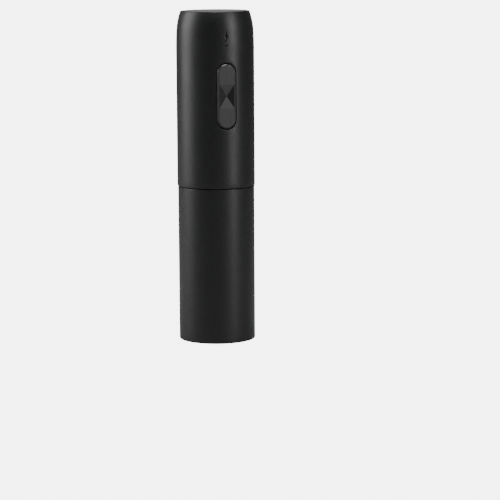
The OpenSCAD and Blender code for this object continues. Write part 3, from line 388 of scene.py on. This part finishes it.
FINISHES = {
    # The bands at 0.0998 and 0.1002 paint a highlight on both edges of the seam between handle and sleeve. The band
    # at 0.0 is wear at the foot.
    "soft_touch_black": coated_finish("soft_touch_black", (0.0058, 0.0059, 0.0065), (0.028, 0.028, 0.029), 0.4,
                                      [(0.0, 0.0013), (0.0998, 0.0008), (0.1002, 0.0008)]),
    "button_grey": moulded_finish("button_grey", (0.028, 0.028, 0.030), (0.034, 0.034, 0.036), 0.5, 4200.0,
                                  0.000016, 0.04),
    # painted shade: a darker, duller copy of button_grey for the two side triangles between the rocker's pads, which
    # lie in shade
    "button_side_painted_shade": moulded_finish("button_side_painted_shade", (0.009, 0.009, 0.0095), (0.012, 0.012, 0.0125), 0.6,
                                       4200.0, 0.000016, 0.0, 1.3),
    "button_rim_grey": moulded_finish("button_rim_grey", (0.028, 0.028, 0.030), (0.034, 0.034, 0.036), 0.24,
                                      4200.0, 0.000008, 0.0),
    "cap_black": moulded_finish("cap_black", (0.008, 0.008, 0.0083), (0.011, 0.011, 0.0115), 0.24, 3200.0,
                                0.000004, 0.05),
    "inner_black": moulded_finish("inner_black", (0.011, 0.011, 0.012), (0.017, 0.017, 0.018), 0.5, 1800.0),
    "frame_grey": moulded_finish("frame_grey", (0.028, 0.029, 0.031), (0.04, 0.041, 0.044), 0.52, 1500.0, 0.00005),
    "pad_rubber": rubber_finish("pad_rubber", (0.05, 0.05, 0.053), (0.07, 0.07, 0.072), 0.7),
    "screw_steel": metal_finish("screw_steel", (0.42, 0.43, 0.45), (0.25, 0.24, 0.23), 0.32, 0.0, 9000.0),
    "bright_steel": metal_finish("bright_steel", (0.62, 0.63, 0.65), (0.45, 0.44, 0.42), 0.16, 0.0, 12000.0,
                                 0.000005, 0.2),
    "coated_steel": coated_finish("coated_steel", (0.012, 0.012, 0.013), (0.2, 0.2, 0.2), 0.26,
                                  [(0.0095, 0.0016)], 0.000004, 5200.0, 0.08),
    "can_steel": metal_finish("can_steel", (0.5, 0.51, 0.52), (0.36, 0.35, 0.33), 0.3, 1.0, 3000.0),
    "cast_grey": cast_finish("cast_grey", (0.24, 0.25, 0.26), (0.32, 0.33, 0.34), 0.45),
    "gear_plastic": moulded_finish("gear_plastic", (0.66, 0.62, 0.5), (0.72, 0.68, 0.57), 0.36, 1600.0, 0.00002,
                                   0.0, 1.48),
    "gear_brass": metal_finish("gear_brass", (0.66, 0.47, 0.19), (0.38, 0.24, 0.1), 0.26, 0.0, 8000.0),
    "bronze": metal_finish("bronze", (0.55, 0.33, 0.13), (0.3, 0.17, 0.08), 0.42, 0.0, 4000.0, 0.00003, 0.5),
    "copper": metal_finish("copper", (0.78, 0.36, 0.19), (0.42, 0.18, 0.1), 0.28, 0.0, 8000.0, 0.00001, 0.4),
    "magnet_grey": cast_finish("magnet_grey", (0.1, 0.1, 0.11), (0.15, 0.15, 0.16), 0.5),
    "carbon_black": moulded_finish("carbon_black", (0.018, 0.018, 0.019), (0.05, 0.05, 0.052), 0.4, 3000.0),
    "motor_blue": moulded_finish("motor_blue", (0.012, 0.04, 0.11), (0.02, 0.055, 0.14), 0.36, 1800.0, 0.00002, 0.0),
    "capacitor_orange": moulded_finish("capacitor_orange", (0.55, 0.17, 0.03), (0.62, 0.22, 0.05), 0.3, 900.0,
                                       0.00008, 0.0),
    "cell_blue": sleeve_film_finish("cell_blue", (0.02, 0.09, 0.24), (0.03, 0.12, 0.3)),
    "tab_nickel": metal_finish("tab_nickel", (0.55, 0.54, 0.5), (0.38, 0.36, 0.32), 0.28, 1.0, 5000.0),
    "board_green": board_finish("board_green"),
    "chip_black": moulded_finish("chip_black", (0.012, 0.012, 0.013), (0.02, 0.02, 0.021), 0.5, 4000.0, 0.00002),
    "connector_white": moulded_finish("connector_white", (0.72, 0.69, 0.6), (0.78, 0.75, 0.67), 0.4, 1700.0,
                                      0.00002, 0.0),
    "led_white": moulded_finish("led_white", (0.82, 0.8, 0.68), (0.86, 0.85, 0.76), 0.24, 2500.0, 0.00001, 0.0),
    "lens_dark": lens_finish("lens_dark"),
    "switch_black": moulded_finish("switch_black", (0.014, 0.014, 0.015), (0.024, 0.024, 0.025), 0.42, 2600.0),
    "plunger_red": moulded_finish("plunger_red", (0.16, 0.012, 0.014), (0.2, 0.02, 0.02), 0.34, 2600.0, 0.00002,
                                  0.0),
    "lead_red": rubber_finish("lead_red", (0.38, 0.014, 0.012), (0.45, 0.03, 0.025), 0.42),
    "lead_black": rubber_finish("lead_black", (0.014, 0.014, 0.015), (0.025, 0.025, 0.026), 0.42),
    "core_steel": layered_finish("core_steel", (0.34, 0.35, 0.37), (0.05, 0.05, 0.055), 0.4, 0.0005),
    "wire_copper": layered_finish("wire_copper", (0.72, 0.25, 0.1), (0.14, 0.035, 0.015), 0.26, 0.0004, 1.0,
                                  0.00008, False),
}


def dress(thing, name):
    thing.data.materials.clear()
    thing.data.materials.append(FINISHES[name])


OWN_FINISH = {"rotor_core": "core_steel", "rotor_windings": "wire_copper"}
for part in frame["record"]["subparts"]:
    dress(nodes[part["node"]], OWN_FINISH.get(part["node"], part["material_slot"]))


# ---------------------------------------------------------------- modelling helpers
def begin(name, add, **spec):
    """Adds a primitive at its size and place, ready to be shaped, with its object at the origin."""
    bpy.ops.object.select_all(action="DESELECT")
    add(**spec)
    piece = bpy.context.object
    piece.name = piece.data.name = name
    bpy.ops.object.transform_apply(location=True, rotation=True, scale=True)
    return piece


def make_active(piece):
    bpy.ops.object.select_all(action="DESELECT")
    piece.select_set(True)
    bpy.context.view_layer.objects.active = piece


def pick(piece, mode, test):
    """In edit mode, selects the vertices, edges or faces whose centre passes the test."""
    bpy.ops.mesh.select_mode(type=mode)
    bpy.ops.mesh.select_all(action="DESELECT")
    shape = bmesh.from_edit_mesh(piece.data)
    if mode == "VERT":
        for v in shape.verts:
            v.select_set(test(v.co))
    elif mode == "EDGE":
        for e in shape.edges:
            e.select_set(test((e.verts[0].co + e.verts[1].co) / 2))
    else:
        for f in shape.faces:
            f.select_set(test(f.calc_center_median()))
    shape.select_flush_mode()
    bmesh.update_edit_mesh(piece.data)


def arc(r, z, radius, start, stop, steps):
    """Points of a round corner in a half section, in millimetres and degrees."""
    angles = [math.radians(start + (stop - start) * i / steps) for i in range(steps + 1)]
    return [(r + radius * math.cos(a), z + radius * math.sin(a)) for a in angles]


def turned(name, section, sides=192, closed=True):
    """Raises a ring point by point along a half section in millimetres, as on a lathe.

    A closed section comes back to its first point. An open one ends in flat discs."""
    (r0, z0), rest = section[0], section[1:]
    piece = begin(name, bpy.ops.mesh.primitive_circle_add, vertices=sides, radius=r0 * MM,
                  location=(0, 0, z0 * MM))
    bpy.ops.object.mode_set(mode="EDIT")
    bpy.ops.mesh.select_all(action="SELECT")
    r_now, z_now = r0, z0
    for r, z in rest + ([section[0]] if closed else []):
        bpy.ops.mesh.extrude_region_move(TRANSFORM_OT_translate={"value": (0, 0, (z - z_now) * MM)})
        bpy.ops.transform.resize(value=(r / r_now, r / r_now, 1), center_override=(0, 0, z * MM))
        r_now, z_now = r, z
    if closed:
        bpy.ops.mesh.select_all(action="SELECT")
        bpy.ops.mesh.remove_doubles(threshold=0.000002)
    else:
        for r, z in (section[0], section[-1]):
            pick(piece, "VERT", lambda v: abs(v.z - z * MM) < 2e-6 and abs(math.hypot(v.x, v.y) - r * MM) < 2e-6)
            bpy.ops.mesh.edge_face_add()
    bpy.ops.mesh.select_all(action="SELECT")
    bpy.ops.mesh.normals_make_consistent(inside=False)
    bpy.ops.object.mode_set(mode="OBJECT")
    return piece


def stadium_block(name, width, height, y_low, y_high, z, across=False, sides=96):
    """A cylinder that lies along Y, pulled out to a stadium along Z, or along X if across."""
    piece = begin(name, bpy.ops.mesh.primitive_cylinder_add, vertices=sides,
                  radius=min(width, height) / 2 * MM, depth=(y_high - y_low) * MM,
                  location=(0, (y_low + y_high) / 2 * MM, z * MM), rotation=(math.pi / 2, 0, 0))
    pull = abs(height - width) / 2 * MM
    bpy.ops.object.mode_set(mode="EDIT")
    for s in (-1, 1):
        if across:
            pick(piece, "VERT", lambda v: v.x * s > 1e-6)
            bpy.ops.transform.translate(value=(s * pull, 0, 0))
        else:
            pick(piece, "VERT", lambda v: (v.z - z * MM) * s > 1e-6)
            bpy.ops.transform.translate(value=(0, 0, s * pull))
    bpy.ops.object.mode_set(mode="OBJECT")
    return piece


def cut(piece, *cutters):
    for cutter in cutters:
        make_active(piece)
        modifier = piece.modifiers.new("cut", "BOOLEAN")
        modifier.operation, modifier.solver, modifier.object = "DIFFERENCE", "EXACT", cutter
        bpy.ops.object.modifier_apply(modifier="cut")
        bpy.data.objects.remove(cutter)


def soften(piece, width, segments, angle, clamp=False):
    """Rounds every edge sharper than the angle, in degrees."""
    make_active(piece)
    modifier = piece.modifiers.new("soft_edges", "BEVEL")
    modifier.width, modifier.segments = width * MM, segments
    modifier.limit_method, modifier.angle_limit = "ANGLE", math.radians(angle)
    modifier.use_clamp_overlap = clamp
    bpy.ops.object.modifier_apply(modifier="soft_edges")


def smooth(piece, angle):
    make_active(piece)
    bpy.ops.object.shade_smooth_by_angle(angle=math.radians(angle))


def settle(piece, body, finish_name, *replaced):
    """The finished piece rides on its body, in its finish, and stands for the nodes named."""
    dress(piece, finish_name)
    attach(piece, body)
    if replaced:
        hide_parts(*replaced)


# ---------------------------------------------------------------- lightning mark
def bolt_block(name, y_low, y_high, grow=0.0):
    """The lightning mark as a block along Y, drawn on a flat six-cornered outline."""
    w, h, z = (0.95 + grow), (2.75 + grow), 196.9
    corners = [(w * 0.25, h), (-w, -h * 0.12), (-w * 0.05, -h * 0.12), (-w * 0.25, -h), (w, h * 0.14),
               (w * 0.05, h * 0.14)]
    piece = begin(name, bpy.ops.mesh.primitive_circle_add, vertices=6, radius=MM, location=(0, y_low * MM, z * MM),
                  rotation=(math.pi / 2, 0, 0), fill_type="NGON")
    ring = sorted(piece.data.vertices, key=lambda v: math.atan2(v.co.z - z * MM, v.co.x) % math.tau)
    order = sorted(corners, key=lambda c: math.atan2(c[1], c[0]) % math.tau)
    for vertex, (x, up) in zip(ring, order):
        vertex.co = (x * MM, y_low * MM, (z + up) * MM)
    bpy.ops.object.mode_set(mode="EDIT")
    bpy.ops.mesh.select_all(action="SELECT")
    bpy.ops.mesh.extrude_region_move(TRANSFORM_OT_translate={"value": (0, (y_high - y_low) * MM, 0)})
    bpy.ops.mesh.select_all(action="SELECT")
    bpy.ops.mesh.normals_make_consistent(inside=False)
    bpy.ops.object.mode_set(mode="OBJECT")
    return piece


# ---------------------------------------------------------------- handle
def shoulder(z):
    """Radius of the handle's outside from the foot of its shoulder up, in millimetres."""
    if z < 200:
        return math.sqrt(200 ** 2 - (z - 188) ** 2) - 175
    return math.sqrt(41 ** 2 - (z - 197.54) ** 2) - 16.287


def make_handle():
    section = [(3, 206), (20.3, 206), (22.8, 190), (22.8, 160), (22.8, 130), (22.8, 100.35), (22.95, 100.2)]
    section += arc(24.7, 100.5, 0.3, -90, 0, 5)
    section += [(25, z) for z in (104, 112, 120, 128, 136, 146, 156, 166, 176, 182)]
    section += [(shoulder(z), z) for z in [188 + i for i in range(12)]]
    section += [(shoulder(200 + i * 0.75), 200 + i * 0.75) for i in range(15)]
    section += [(shoulder(211.25), 211.25)] + arc(21.72, 211.45, 0.55, 15, 90, 7)
    section += arc(19.55, 211.75, 0.25, 90, 180, 4) + [(19.3, 208.2), (3, 208.2)]
    piece = turned("handle_body", section, closed=False)
    cut(piece,
        stadium_block("slot_cutter", 13.2, 42.4, -30, -12, 159),
        stadium_block("dot_cutter", 1.6, 1.6, -30, -20, 191, sides=32),
        bolt_block("bolt_cutter", -30, -20, 0.06),
        stadium_block("port_cutter", 11.54, 5.8, 24.3, 27, 189, across=True, sides=64),
        stadium_block("port_way_cutter", 9.64, 3.9, 18, 27, 189, across=True, sides=64))
    soften(piece, 0.16, 3, 42)
    smooth(piece, 32)
    settle(piece, "housing", "soft_touch_black", "handle_shell")


make_handle()


def make_sleeve():
    section = [(22.6, 0.25)] + arc(22.85, 0.25, 0.25, 180, 270, 4) + arc(23.7, 0.9, 0.9, -90, 0, 9)
    section += [(24.6, z) for z in (12, 30, 50, 70, 88, 99.2)]
    section += arc(24.35, 99.35, 0.25, 0, 45, 3) + arc(24.05, 99.6, 0.2, 45, 90, 3) + [(22.6, 99.8), (22.6, 50)]
    piece = turned("sleeve_body", section)
    smooth(piece, 32)
    settle(piece, "housing", "soft_touch_black", "lower_sleeve")


make_sleeve()


def make_cap():
    section = [(2, 208.2), (17.5, 208.2), (19.2, 208.2)] + arc(18.95, 211.7, 0.25, 0, 90, 5)
    section += [(18.2, 211.98), (12, 212), (2, 212)]
    piece = turned("cap_disc", section, closed=False)
    smooth(piece, 32)
    settle(piece, "housing", "cap_black", "top_cap")


make_cap()


# ---------------------------------------------------------------- rocker
def make_rocker():
    """A stadium with a rounded rim. Between its pads the face is pressed in to a point."""
    low, high, z = -25.35, -21.8, 159.0
    piece = stadium_block("rocker_pads", 12.4, 41.6, low, high, z, sides=112)
    bpy.ops.object.mode_set(mode="EDIT")
    pick(piece, "EDGE", lambda c: abs(c.y - low * MM) < 1e-6)
    bpy.ops.mesh.bevel(offset=1.35 * MM, segments=12, profile=0.36, affect="EDGES")
    for level in (z - 7.5, z + 7.5):
        pick(piece, "FACE", lambda c: abs(c.y - low * MM) < 1e-6)
        bpy.ops.mesh.bisect(plane_co=(0, 0, level * MM), plane_no=(0, 0, 1))
    pick(piece, "FACE", lambda c: abs(c.y - low * MM) < 1e-6 and abs(c.z - z * MM) < 4 * MM)
    bpy.ops.mesh.poke()
    pick(piece, "VERT", lambda v: abs(v.y - low * MM) < 1e-6 and (v - Vector((0, low * MM, z * MM))).length < MM)
    bpy.ops.transform.translate(value=(0, 1.15 * MM, 0))
    pick(piece, "FACE", lambda c: abs(c.y - low * MM) < 1e-6)
    bpy.ops.mesh.inset(thickness=0.4 * MM, use_individual=True)
    bpy.ops.mesh.quads_convert_to_tris()
    bpy.ops.object.mode_set(mode="OBJECT")
    smooth(piece, 8.4)
    settle(piece, "rocker", "button_grey", "rocker_button")
    # Slot 1 is a darker copy of the button's finish that paints shade on the two side triangles between the pads.
    # Slot 2 is a glossier copy for the rim at the ends.
    piece.data.materials.append(FINISHES["button_side_painted_shade"])
    piece.data.materials.append(FINISHES["button_rim_grey"])
    for face in piece.data.polygons:
        across, out, up = (abs(v) for v in face.normal)
        middle = face.center / MM
        if abs(middle.z - z) < 7.4 and abs(middle.x) < 4.9 and across > up and out > 0.9:
            face.material_index = 1
        elif abs(middle.z - z) > 14.6 and up > 0.25 and out > 0.1:
            face.material_index = 2


def bar(name, radius, start, end, sides=32, nose=0.2):
    """A round bar between two points in millimetres, with its ends rounded off."""
    start, end = Vector(start) * MM, Vector(end) * MM
    along = end - start
    turn = along.to_track_quat("Z", "Y").to_euler()
    piece = begin(name, bpy.ops.mesh.primitive_cylinder_add, vertices=sides, radius=radius * MM,
                  depth=along.length, location=(start + end) / 2, rotation=turn)
    soften(piece, nose, 3, 50, clamp=True)
    return piece


def block(name, low, high, edge=0.3, segments=3):
    """A box between two corners in millimetres, with rounded edges."""
    low, high = Vector(low) * MM, Vector(high) * MM
    piece = begin(name, bpy.ops.mesh.primitive_cube_add, size=1, location=(low + high) / 2, scale=high - low)
    soften(piece, edge, segments, 40, clamp=True)
    return piece


def joined(name, *parts):
    bpy.ops.object.select_all(action="DESELECT")
    for part in parts:
        part.select_set(True)
    bpy.context.view_layer.objects.active = parts[0]
    bpy.ops.object.join()
    parts[0].name = parts[0].data.name = name
    return parts[0]


def copied(piece, name, shift):
    """Another of a piece, with its own mesh, moved by millimetres."""
    make_active(piece)
    bpy.ops.object.duplicate()
    twin = bpy.context.object
    twin.name = twin.data.name = name
    twin.location = Vector(shift) * MM
    bpy.ops.object.transform_apply(location=True, rotation=False, scale=False)
    return twin


def make_rocker_foot():
    """What holds the pads: the rib with its pivot bar, and the two feet that press the switches."""
    rib = block("rocker_rib", (-6.1, -22.1, 157), (6.1, -19.4, 161), 0.25)
    hub = bar("rocker_hub", 2.0, (-6.1, -19.2, 159), (6.1, -19.2, 159), 48)
    pivot = bar("rocker_pivot", 1.0, (-8.5, -19.2, 159), (8.5, -19.2, 159), 32, 0.25)
    foot = bar("rocker_upper_foot", 2.2, (0, -22.1, 172), (0, -21.3, 172), 48, 0.25)
    twin = copied(foot, "rocker_lower_foot", (0, 0, -26))
    piece = joined("rocker_foot", rib, hub, pivot, foot, twin)
    smooth(piece, 32)
    return piece


make_rocker()
settle(make_rocker_foot(), "rocker", "button_grey")


# ---------------------------------------------------------------- light window
def make_window():
    """One smoked window behind the shell: its dot is domed and its lightning mark lies under flush."""
    plate = block("window_plate", (-2.8, -20.8, 188.6), (2.8, -19.8, 200.4), 0.3)
    dot = bar("window_dot", 0.75, (0, -24.86, 191), (0, -20.6, 191), 32, 0.3)
    mark = bolt_block("window_mark", -24.4, -20.6)
    guide = bar("window_guide", 1.6, (0, -19.9, 191.3), (0, -17.7, 191.3), 32)
    piece = joined("light_window", plate, dot, mark, guide)
    smooth(piece, 32)
    settle(piece, "housing", "lens_dark", "indicator_lens")


make_window()


# ---------------------------------------------------------------- corkscrew
def make_spiral():
    """A round wire wound right-handed, ground to a point and drawn in to the axis under its shank."""
    coil, pitch, wire, low, high, shank, end = 3.05, 8.8, 1.45, 9.0, 78.4, 83.0, 90.5
    data = bpy.data.curves.new("screw_wire", "CURVE")
    data.dimensions, data.bevel_depth, data.bevel_resolution, data.use_fill_caps = "3D", wire * MM, 6, True
    steps = math.ceil((shank - low) / pitch * 48)
    points = []
    for i in range(steps + 1):
        z = low + (shank - low) * i / steps
        angle = math.tau * (z - low) / pitch
        inward = min(1.0, max(0.0, (z - high) / (shank - high)))
        out = coil * (1 - inward * inward * (3 - 2 * inward))
        thick = min(1.0, 0.05 + 0.95 * (i / 34) ** 0.7)
        points.append((out * math.cos(angle), out * math.sin(angle), z, thick))
    points += [(0, 0, shank + (end - shank) * i / 8, 1.0) for i in range(1, 9)]
    wound = data.splines.new("POLY")
    wound.points.add(len(points) - 1)
    for point, (x, y, z, thick) in zip(wound.points, points):
        point.co = (x * MM, y * MM, z * MM, 1)
        point.radius = thick
    piece = bpy.data.objects.new("screw_wire", data)
    bpy.context.collection.objects.link(piece)
    make_active(piece)
    bpy.ops.object.convert(target="MESH")
    piece = bpy.context.object
    piece.name = piece.data.name = "screw_wire"
    bpy.ops.object.mode_set(mode="EDIT")
    bpy.ops.mesh.select_all(action="SELECT")
    bpy.ops.mesh.remove_doubles(threshold=0.000001)
    bpy.ops.mesh.normals_make_consistent(inside=False)
    bpy.ops.object.mode_set(mode="OBJECT")
    smooth(piece, 40)
    settle(piece, "output", "coated_steel", "corkscrew_spiral")


make_spiral()


# ---------------------------------------------------------------- inside of the sleeve
def refined(node, name, body, edge, angle=32):
    """A node that shows from below, merged to one skin, with its edges rounded and its curves smooth."""
    piece = bpy.data.objects.new(name, nodes[node].data.copy())
    piece.data.name = name
    bpy.context.collection.objects.link(piece)
    make_active(piece)
    bpy.ops.object.mode_set(mode="EDIT")
    bpy.ops.mesh.select_all(action="SELECT")
    bpy.ops.mesh.remove_doubles(threshold=0.000002)
    bpy.ops.mesh.dissolve_limited(angle_limit=math.radians(0.5))
    bpy.ops.object.mode_set(mode="OBJECT")
    soften(piece, edge, 2, 40, clamp=True)
    smooth(piece, angle)
    slot = next(row["material_slot"] for row in frame["record"]["subparts"] if row["node"] == node)
    settle(piece, body, slot, node)


refined("neck_guide", "guide_liner", "housing", 0.2)
refined("lip_pad", "lip_ring", "housing", 0.2)
refined("cork_chamber", "chamber_liner", "housing", 0.12)
refined("spiral_holder", "holder_nose", "output", 0.2)


# ---------------------------------------------------------------- charging port
def make_port():
    """The metal mouth of the charging socket, with a rolled lip, and its tongue with gold contacts."""
    mouth = stadium_block("port_mouth", 8.94, 3.2, 14.5, 23.7, 189, across=True, sides=64)
    hollow = stadium_block("port_hollow", 8.34, 2.6, 15.5, 25, 189, across=True, sides=64)
    cut(mouth, hollow)
    soften(mouth, 0.09, 3, 40)
    smooth(mouth, 32)
    settle(mouth, "housing", "bright_steel", "charge_socket")
    tongue = block("port_tongue", (-3.3, 15.5, 188.65), (3.3, 22.8, 189.35), 0.12)
    smooth(tongue, 32)
    settle(tongue, "housing", "chip_black", "charge_tongue")
    first = block("port_contact", (-2.72, 16.4, 189.33), (-2.48, 22.3, 189.38), 0.01, 1)
    others = [copied(first, f"port_contact_{i}", (0.65 * i, 0, 0)) for i in range(1, 9)]
    contacts = joined("port_contacts", first, *others)
    settle(contacts, "housing", "gear_brass")


make_port()


# ---------------------------------------------------------------- floor and background
def white_to_camera(tree, bright, others):
    """Looks plain white to the camera, and like the other shader to reflections and bounced light."""
    path = put(tree, "LightPath")
    shown = put(tree, "Emission", {"Color": (1, 1, 1, 1), "Strength": bright})
    return put(tree, "MixShader", {0: path.outputs["Is Camera Ray"], 1: others, 2: shown.outputs[0]}).outputs[0]


WHITE = 6.0
floor = begin("floor", bpy.ops.mesh.primitive_plane_add, size=16, location=(0, 0, 0))
floor_white, floor_tree, floor_shader = finish("floor_white", Roughness=0.85)
floor_shader.inputs["Base Color"].default_value = (0.4, 0.4, 0.4, 1)
from_above = white_to_camera(floor_tree, WHITE, floor_shader.outputs[0])
below = put(floor_tree, "NewGeometry").outputs["Backfacing"]
clear = put(floor_tree, "BsdfTransparent").outputs[0]
open_below = put(floor_tree, "MixShader", {0: below, 1: from_above, 2: clear}).outputs[0]
floor_tree.links.new(open_below, floor_tree.nodes["Material Output"].inputs["Surface"])
floor.data.materials.append(floor_white)

world = bpy.context.scene.world or bpy.data.worlds.new("studio")
bpy.context.scene.world = world
world.use_nodes = True
sky = world.node_tree
dim = sky.nodes["Background"]
dim.inputs["Color"].default_value = (1, 1, 1, 1)
dim.inputs["Strength"].default_value = 0.09
bright_sky = put(sky, "Background", {"Color": (1, 1, 1, 1), "Strength": WHITE})
seen = put(sky, "LightPath")
mixed = put(sky, "MixShader", {0: seen.outputs["Is Camera Ray"], 1: dim.outputs[0], 2: bright_sky.outputs[0]})
sky.links.new(mixed.outputs[0], sky.nodes["World Output"].inputs["Surface"])
